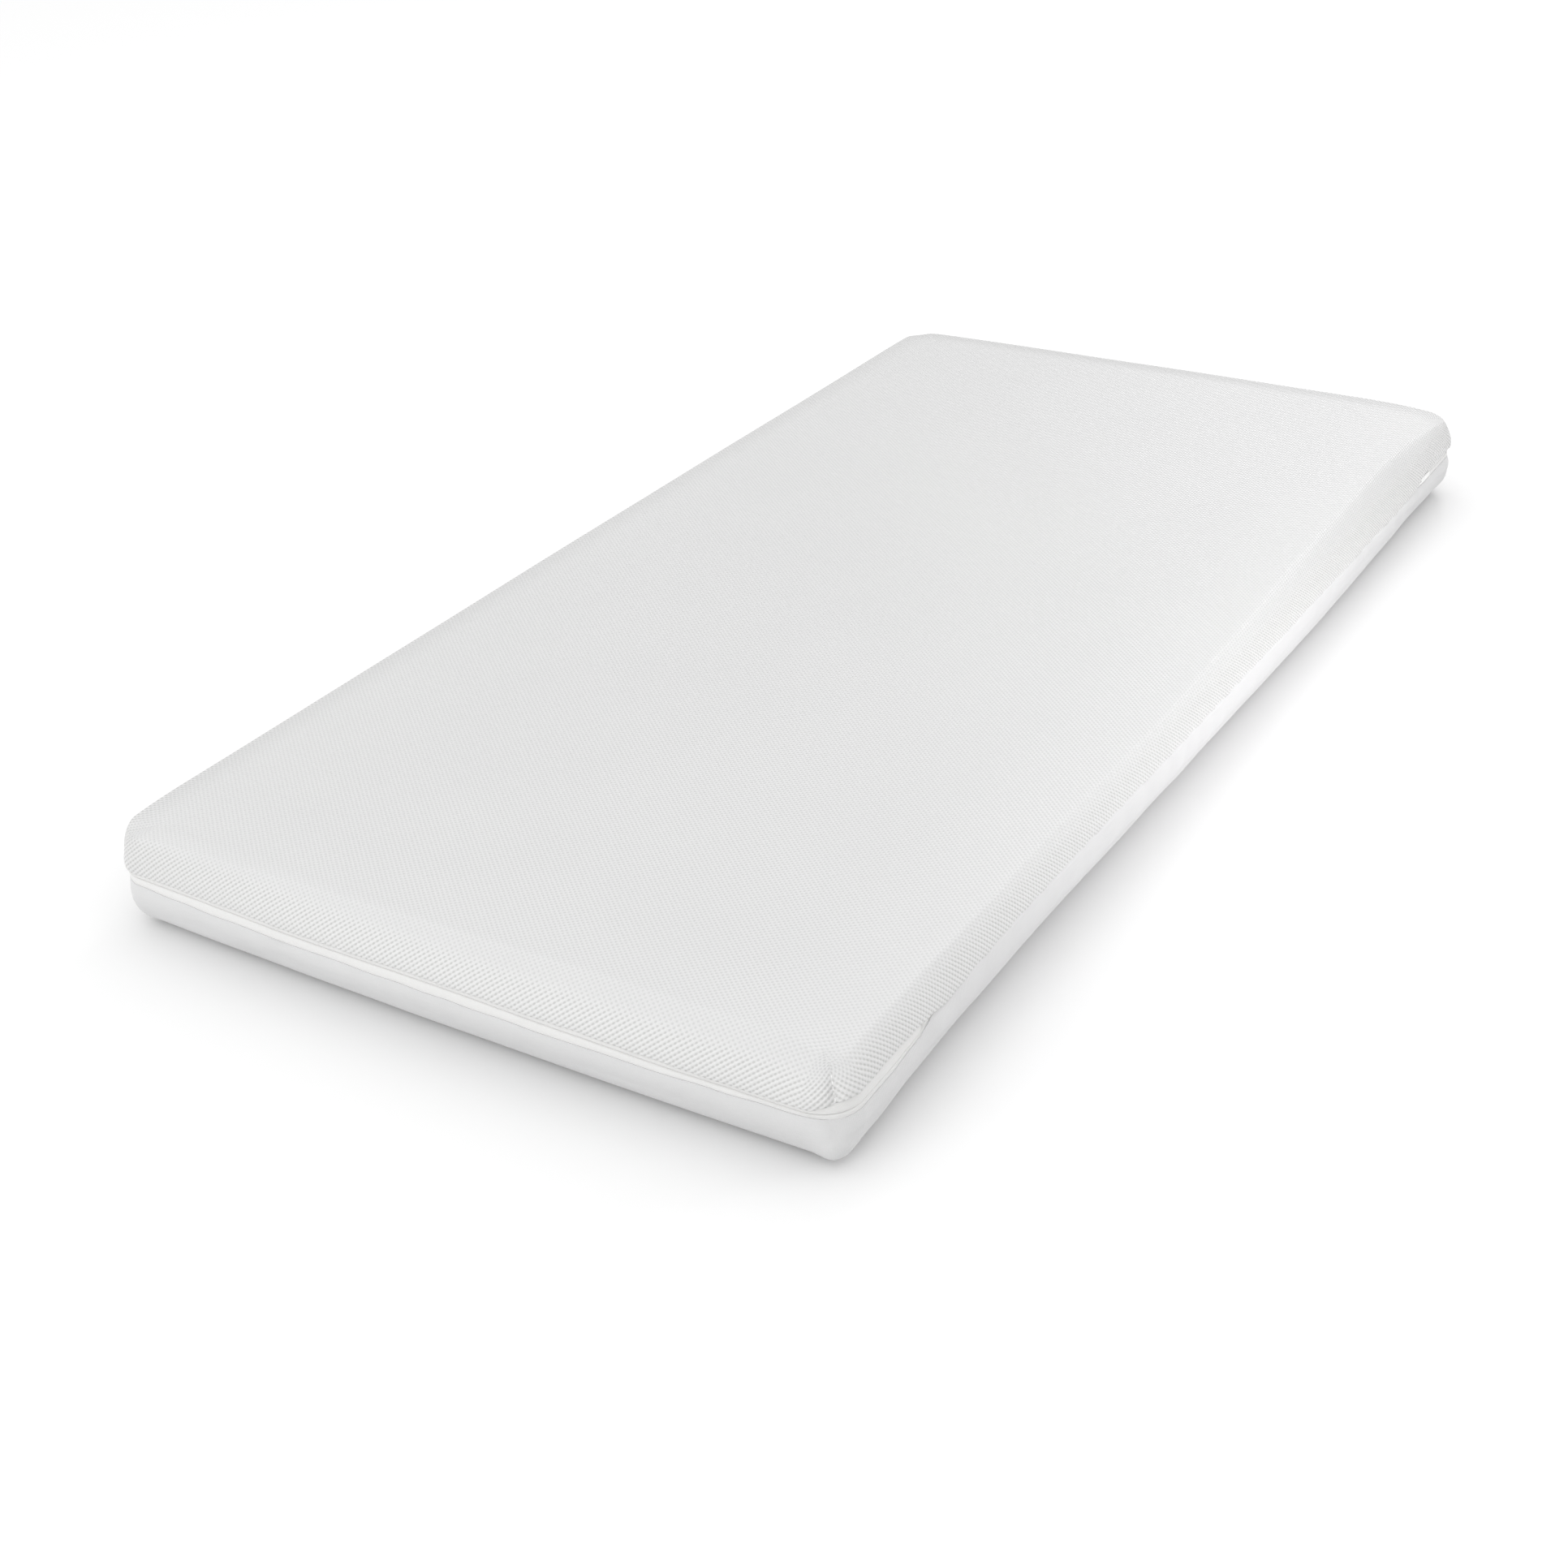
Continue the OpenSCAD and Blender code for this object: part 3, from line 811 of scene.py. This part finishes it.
def build_pull():
    """A tapered tab with a raised rim and a slot, and the pin it hangs by."""
    low, high = box_mm("pull_tab")
    centre_x, half_w, half_t, eye_wall = (low[0] + high[0]) / 2, (high[2] - low[2]) / 2, 0.35, 0.28
    pin_y = JOINT["pull_tab_hinge"]["pos_m"][1] / MM
    outer = tab_outline(pin_y - eye_wall, high[1], half_w * 0.92, half_w)
    slot = tab_outline(pin_y + eye_wall, pin_y + 3.5, 1.35, 1.35)
    loops = []
    for share, thick in TAB_SECTION:
        y = outer[0] + (slot[0] - outer[0]) * share
        z = outer[1] + (slot[1] - outer[1]) * share
        loops.append((y, z, half_t * thick))
    front = [np.column_stack([centre_x + t + 0 * y, y, ZIP_Z + z]) for y, z, t in loops]
    back = [np.column_stack([centre_x - t + 0 * y, y, ZIP_Z + z]) for y, z, t in loops[::-1]]
    tab = loft("tab", front + back, closed=True)
    pin_z = np.linspace(-half_w, half_w, 9)
    pin_path = np.column_stack([np.full(9, centre_x), np.full(9, pin_y), ZIP_Z + pin_z])
    taper = [0.6, 0.9, 1, 1, 1, 1, 1, 0.9, 0.6]
    pin = tubes("pin", pin_path[None], np.array([1.0, 0.0, 0.0]), half_t, 12, taper)
    return join("zip_pull_tab", tab, pin)


# ---- materials

class Nodes:
    """A material's node tree, with short ways to add to it."""

    def __init__(self, name):
        self.material = bpy.data.materials.new(name)
        self.material.use_nodes = True
        self.tree = self.material.node_tree
        self.shader = self.tree.nodes["Principled BSDF"]

    def add(self, kind, inputs=None, **settings):
        node = self.tree.nodes.new(kind)
        for key, value in settings.items():
            setattr(node, key, value)
        for key, value in (inputs or {}).items():
            self.put(value, node.inputs[key])
        return node

    def put(self, value, socket):
        if isinstance(value, bpy.types.NodeSocket):
            self.tree.links.new(value, socket)
        else:
            socket.default_value = value

    def math(self, operation, a, b=0.0):
        return self.add("ShaderNodeMath", {0: a, 1: b}, operation=operation).outputs[0]

    def times(self, a, b):
        return self.math("MULTIPLY", a, b)

    def wave(self, value, pitch=1.0):
        return self.math("COSINE", self.times(value, TURN / pitch))

    def ramp(self, value, from_min, from_max, to_min=0.0, to_max=1.0):
        keys = {"Value": value, "From Min": from_min, "From Max": from_max}
        keys.update({"To Min": to_min, "To Max": to_max})
        return self.add("ShaderNodeMapRange", keys, interpolation_type="SMOOTHSTEP").outputs[0]

    def mix(self, factor, a, b):
        node = self.add("ShaderNodeMix", data_type="RGBA")
        self.put(factor, node.inputs[0])
        self.put(a, node.inputs[6])
        self.put(b, node.inputs[7])
        return node.outputs[2]

    def flat_cloth(self):
        """The cloth's own flat coordinates, in millimetres."""
        uv = self.add("ShaderNodeUVMap", uv_map="cloth").outputs[0]
        return self.add("ShaderNodeSeparateXYZ", {0: uv}).outputs

    def object_space(self):
        return self.add("ShaderNodeTexCoord").outputs["Object"]

    def noise(self, scale, detail=2.0):
        keys = {"Vector": self.object_space(), "Scale": scale, "Detail": detail}
        return self.add("ShaderNodeTexNoise", keys).outputs["Fac"]

    def bump(self, height, distance_mm, strength=1.0, normal=None):
        keys = {"Height": height, "Distance": distance_mm * MM, "Strength": strength}
        node = self.add("ShaderNodeBump", keys)
        if normal is not None:
            self.put(normal, node.inputs["Normal"])
        return node.outputs[0]

    def finish(self, colour, roughness, normal=None, sheen=0.0, specular=0.2):
        self.put(colour, self.shader.inputs["Base Color"])
        self.put(roughness, self.shader.inputs["Roughness"])
        if normal is not None:
            self.put(normal, self.shader.inputs["Normal"])
        if sheen:
            self.shader.inputs["Sheen Weight"].default_value = sheen
            self.shader.inputs["Sheen Roughness"].default_value = 0.5
        self.shader.inputs["Specular IOR Level"].default_value = specular
        return self.material


def spacer_mesh_material():
    """White warp-knitted spacer mesh: a centred lattice of small holes between plump diagonal ribs. The holes
    are painted darker, as painted shade inside them. On the border the colour is painted a little brighter
    and its holes darker, as painted light and shade of the walls against the top, and the pattern is pulled
    so that one way of ribs stands out."""
    pitch_u, pitch_v, border_w, border_pull = 4.46, 3.9, 12.0, 0.45
    n = Nodes("spacer_mesh")
    u, v, _ = n.flat_cloth()
    uu, vv = n.math("DIVIDE", u, pitch_u), n.math("DIVIDE", v, pitch_v)
    border = n.math("MAXIMUM", n.ramp(n.math("ABSOLUTE", u), HALF_W - border_w, HALF_W),
                    n.ramp(n.math("ABSOLUTE", v), HALF_L - border_w, HALF_L))
    pull = n.times(border, border_pull)
    p = n.times(n.wave(n.math("ADD", uu, vv)), n.math("SUBTRACT", 1.0, pull))
    q = n.times(n.wave(n.math("SUBTRACT", uu, vv)), n.math("ADD", 1.0, pull))
    lattice = n.times(n.math("ADD", n.math("ADD", p, q), 2.0), 0.25)
    painted_hole_shade = n.ramp(lattice, 0.52, 0.93)
    rib_height = n.math("SUBTRACT", 1.0, n.math("POWER", lattice, 1.3))
    yarn = n.noise(900.0, 2.0)
    cloud = n.noise(9.0, 3.0)
    base = n.mix(cloud, (0.560, 0.560, 0.560, 1), (0.585, 0.585, 0.583, 1))
    # Painted light: the border's base is painted brighter, so the walls stand brighter than the top.
    base = n.mix(border, base, (0.622, 0.621, 0.617, 1))
    # Painted shade: the holes are painted darker, more on the border's walls than on the top.
    colour = n.mix(painted_hole_shade, base, n.mix(border, (0.51, 0.51, 0.508, 1), (0.475, 0.475, 0.467, 1)))
    height = n.math("ADD", rib_height, n.times(yarn, 0.07))
    height = n.times(height, n.ramp(border, 0.0, 1.0, 0.75, 1.1))
    normal = n.bump(height, 0.6)
    return n.finish(colour, n.ramp(yarn, 0.0, 1.0, 0.30, 0.40), normal, sheen=0.05, specular=0.55)


def lower_cloth_material():
    """Smooth white knit with a fine check and a soft, slightly cool shade."""
    knit_pitch = 1.3
    n = Nodes("lower_cloth")
    u, v, _ = n.flat_cloth()
    knit = n.times(n.math("ADD", n.wave(u, knit_pitch), n.wave(v, knit_pitch)), 0.25)
    soft = n.noise(14.0, 3.0)
    fine = n.noise(700.0, 2.0)
    colour = n.mix(soft, (0.565, 0.565, 0.566, 1), (0.595, 0.595, 0.597, 1))
    height = n.math("ADD", knit, n.times(fine, 0.5))
    normal = n.bump(height, 0.12)
    normal = n.bump(soft, 2.0, 0.35, normal)
    return n.finish(colour, n.ramp(fine, 0.0, 1.0, 0.75, 0.9), normal, sheen=0.2)


def zip_tape_material():
    """Woven polyester tape with fine lengthwise ribs."""
    rib_pitch = 0.9
    n = Nodes("zip_tape")
    _, v, _ = n.flat_cloth()
    rib = n.wave(v, rib_pitch)
    fine = n.noise(500.0, 2.0)
    colour = n.mix(fine, (0.65, 0.648, 0.64, 1), (0.685, 0.683, 0.675, 1))
    normal = n.bump(n.math("ADD", n.times(rib, 0.35), fine), 0.1)
    return n.finish(colour, n.ramp(fine, 0.0, 1.0, 0.65, 0.85), normal, sheen=0.1)


def foam_material(name, colour_a, colour_b, pore_mm):
    """Open-cell foam with fine pores."""
    n = Nodes(name)
    cells = n.add("ShaderNodeTexVoronoi", {"Vector": n.object_space(), "Scale": 1 / (pore_mm * MM)})
    cell = cells.outputs["Distance"]
    cloud = n.noise(12.0, 3.0)
    pore = n.ramp(cell, 0.1, 0.6)
    colour = n.mix(cloud, colour_a, colour_b)
    normal = n.bump(pore, 0.5)
    return n.finish(colour, n.ramp(cell, 0.0, 1.0, 0.8, 1.0), normal, sheen=0.1)


def grained_material(name, scale, detail, colours, roughness, bump_mm):
    """A material whose colour, roughness and relief follow one fine grain."""
    n = Nodes(name)
    grain = n.noise(scale, detail)
    return n.finish(n.mix(grain, *colours), n.ramp(grain, 0.0, 1.0, *roughness), n.bump(grain, bump_mm))


def slider_material():
    """White enamel, worn a little darker in places."""
    n = Nodes("white_enamel")
    wear = n.noise(400.0, 3.0)
    colour = n.mix(n.ramp(wear, 0.35, 0.75), (0.80, 0.80, 0.79, 1), (0.70, 0.70, 0.69, 1))
    return n.finish(colour, n.ramp(wear, 0.0, 1.0, 0.25, 0.45), n.bump(wear, 0.03))


# ---- assembly

LOOKS = {
    "mesh_fabric": spacer_mesh_material(),
    "lower_cloth": lower_cloth_material(),
    "zip_tape": zip_tape_material(),
    "slider_metal": slider_material(),
    "zip_coil": grained_material("zip_coil", 600.0, 2.0, ((0.74, 0.74, 0.73, 1), (0.82, 0.82, 0.81, 1)),
                                 (0.35, 0.5), 0.05),
    "thread": grained_material("sewing_thread", 1500.0, 2.0, ((0.76, 0.76, 0.75, 1), (0.86, 0.86, 0.85, 1)),
                               (0.6, 0.8), 0.15),
    "label_cloth": grained_material("label_satin", 900.0, 1.0, ((0.82, 0.82, 0.82, 1), (0.88, 0.88, 0.88, 1)),
                                    (0.45, 0.6), 0.05),
    "memory_foam": foam_material("memory_foam", (0.80, 0.77, 0.62, 1), (0.84, 0.81, 0.67, 1), 0.5),
    "support_foam": foam_material("support_foam", (0.74, 0.78, 0.80, 1), (0.79, 0.82, 0.84, 1), 0.9),
}


def place(obj, slot, body, node):
    """Paints a piece and has it stand in place of a CAD node: it rides on its body, and a piece of the lid's
    fabric has its transform baked in and is parented to nothing.
    """
    obj.data.materials.append(LOOKS[slot])
    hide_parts(node)
    if body == "lid fabric":
        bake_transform(obj)
    else:
        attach(obj, body)


top = thicken(build_top_cover(), MESH_T)
place(top, "mesh_fabric", "lid fabric", "top_cover")

lower = thicken(build_lower_cover(), CLOTH_T)
place(lower, "lower_cloth", "mattress", "lower_cover")

# Each run of the zip: its pieces' ending, course, body and CAD nodes
ZIP_RUNS = (
    ("upper", LID_COURSE, "lid fabric", "upper_zip_%s"),
    ("upper_near_end", NEAR_RUN, "mattress", "upper_%s_ends"),
    ("upper_slider_end", SLIDER_RUN, "mattress", "upper_%s_ends"),
    ("lower", LOWER_COURSE, "mattress", "lower_zip_%s"),
)
for run, ends, body, node in ZIP_RUNS:
    rows, edge_z = (LOWER_TAPE, cloth_edge_z) if run == "lower" else (UPPER_TAPE, mesh_edge_z)
    tape = thicken(band("zip_tape_" + run, ends, rows, edge_z), TAPE_T)
    place(tape, "zip_tape", body, node % "tape")

for run, ends, body, node in ZIP_RUNS:
    rise = -COIL_RISE if run == "lower" else COIL_RISE
    coil = helix("zip_coil_" + run, ends, lambda x, y: zip_line_z(x, y) + rise, depth=4.45, half_depth=0.7,
                 half_height=0.9, pitch=1.6, wire_r=0.22)
    place(coil, "zip_coil", body, node % "coil")

# The rows of stitches that hold the tapes: how deep they lie, and how far from the closing line
STITCH_DEPTH, STITCH_OFFSET = 4.0, 9.5
upper_stitches = stitches("zip_stitches_upper", LID_COURSE, STITCH_DEPTH + 0.2,
                          lambda x, y: zip_line_z(x, y) + STITCH_OFFSET)
lower_stitches = stitches("zip_stitches_lower", LOWER_COURSE, STITCH_DEPTH,
                          lambda x, y: zip_line_z(x, y) - STITCH_OFFSET)
place(upper_stitches, "thread", "lid fabric", "upper_zip_stitching")
place(lower_stitches, "thread", "mattress", "lower_zip_stitching")
place(build_dart_stitching(), "thread", "lid fabric", "corner_dart_stitching")
place(build_bar_tacks(), "thread", "mattress", "bar_tacks")

SEAM_Y = ZIP_END_Y - TAPE_TAIL - 1.0
overlock = helix("seam_overlock", (OUTLINE.right(-SEAM_Y) - OUTLINE.total, OUTLINE.right(SEAM_Y)),
                 lambda x, y: cloth_edge_z(x, y) - 3.5, depth=4.6, half_depth=0.6, half_height=2.3,
                 pitch=2.8, wire_r=0.24, points_a_turn=9)
place(overlock, "thread", "mattress", "side_seam_overlock")

label = thicken(build_label(), 0.3, 0.0)
place(label, "label_cloth", "mattress", "care_label")

place(bevel(build_slider(), 0.12), "slider_metal", "zip_slider", "slider_body")
place(build_bridge(), "slider_metal", "zip_slider", "slider_bridge")
place(bevel(build_pull(), 0.08), "slider_metal", "zip_pull", "pull_tab")

foam_split = box_mm("memory_foam")[0][2]
foam_foot = box_mm("support_foam")[0][2]
memory = build_foam("memory_foam_block", foam_split + 0.1, 1.0)
support = build_foam("support_foam_block", foam_foot, 20.0, foam_split)
for block, node in ((memory, "memory_foam"), (support, "support_foam")):
    place(block, node, "mattress", node)

# ---- studio

# The camera looks from this azimuth and elevation, and is rolled a little
AZIMUTH, ELEVATION, ROLL = np.radians([32.56, 29.79, -2.55])
CAMERA_PLACE = (0.83332, -1.48215, 0.86680)
LENS_MM = 51.25
SENSOR_MM = 36.0


def studio_camera():
    level = np.cos(ELEVATION)
    back = Vector((np.sin(AZIMUTH) * level, -np.cos(AZIMUTH) * level, np.sin(ELEVATION)))
    right = (-back).cross(Vector((0, 0, 1))).normalized()
    up = right.cross(-back)
    c, s = np.cos(ROLL), np.sin(ROLL)
    right, up = right * c + up * s, up * c - right * s
    data = bpy.data.cameras.new("studio_camera")
    data.lens, data.sensor_width = LENS_MM, SENSOR_MM
    data.clip_end = 100.0
    camera = add_object("studio_camera", data)
    camera.matrix_world = Matrix.Translation(CAMERA_PLACE) @ Matrix((right, up, back)).transposed().to_4x4()
    bpy.context.scene.camera = camera


# Half the floor's side, and the hair's breadth it lies below the mattress, in metres
FLOOR_HALF, FLOOR_GAP = 30.0, 0.0005


def studio_floor():
    n = Nodes("studio_floor")
    n.finish((0.76, 0.76, 0.76, 1), 1.0, specular=0.0)
    corners = [(x * FLOOR_HALF, y * FLOOR_HALF, 0) for x, y in ((-1, -1), (1, -1), (1, 1), (-1, 1))]
    mesh = bpy.data.meshes.new("studio_floor")
    mesh.from_pydata(corners, [], [(0, 1, 2, 3)])
    mesh.materials.append(n.material)
    floor = add_object("studio_floor", mesh)
    floor.location.z = -FLOOR_GAP


# The sky's brightness overhead and at the horizon, and the height at which it is full
ZENITH, HORIZON, SKY_FULL = 1.37, 0.12, 0.5
# Each lamp's name, place, aim and size in metres, watts, colour, and whether glossy surfaces mirror it
SOFTBOXES = (
    ("front_softbox", (-0.7, -3.4, 0.75), (0.0, -0.4, 0.04), (2.2, 0.8), 30.5, (1.0, 1.0, 1.0), False),
    ("right_softbox", (0.84, 0.04, 0.14), (0.3, 0.06, 0.05), (0.35, 0.12), 1.75, (1.0, 0.985, 1.0), False),
    ("back_softbox", (-0.15, 2.8, 1.6), (0.27, 0.2, 0.07), (0.7, 0.6), 13.0, (0.99, 0.98, 1.0), True),
)


def studio_lights():
    world = bpy.data.worlds.new("studio_world")
    world.use_nodes = True
    nodes, links = world.node_tree.nodes, world.node_tree.links
    direction = nodes.new("ShaderNodeTexCoord")
    split = nodes.new("ShaderNodeSeparateXYZ")
    climb = nodes.new("ShaderNodeMapRange")
    climb.interpolation_type = "SMOOTHSTEP"
    for key, value in (("From Max", SKY_FULL), ("To Min", HORIZON), ("To Max", ZENITH)):
        climb.inputs[key].default_value = value
    links.new(direction.outputs["Generated"], split.inputs[0])
    links.new(split.outputs["Z"], climb.inputs["Value"])
    links.new(climb.outputs[0], nodes["Background"].inputs["Strength"])
    nodes["Background"].inputs["Color"].default_value = (1, 1, 1, 1)
    bpy.context.scene.world = world
    for name, spot, aim, size, power, colour, mirrored in SOFTBOXES:
        data = bpy.data.lights.new(name, "AREA")
        data.shape, data.energy, data.color = "RECTANGLE", power, colour
        data.size, data.size_y = size
        lamp = add_object(name, data)
        lamp.location = spot
        lamp.rotation_euler = (Vector(aim) - Vector(spot)).to_track_quat("-Z", "Y").to_euler()
        lamp.visible_camera = False
        lamp.visible_glossy = mirrored
    bpy.context.scene.view_settings.view_transform = "Standard"


studio_camera()
studio_floor()
studio_lights()
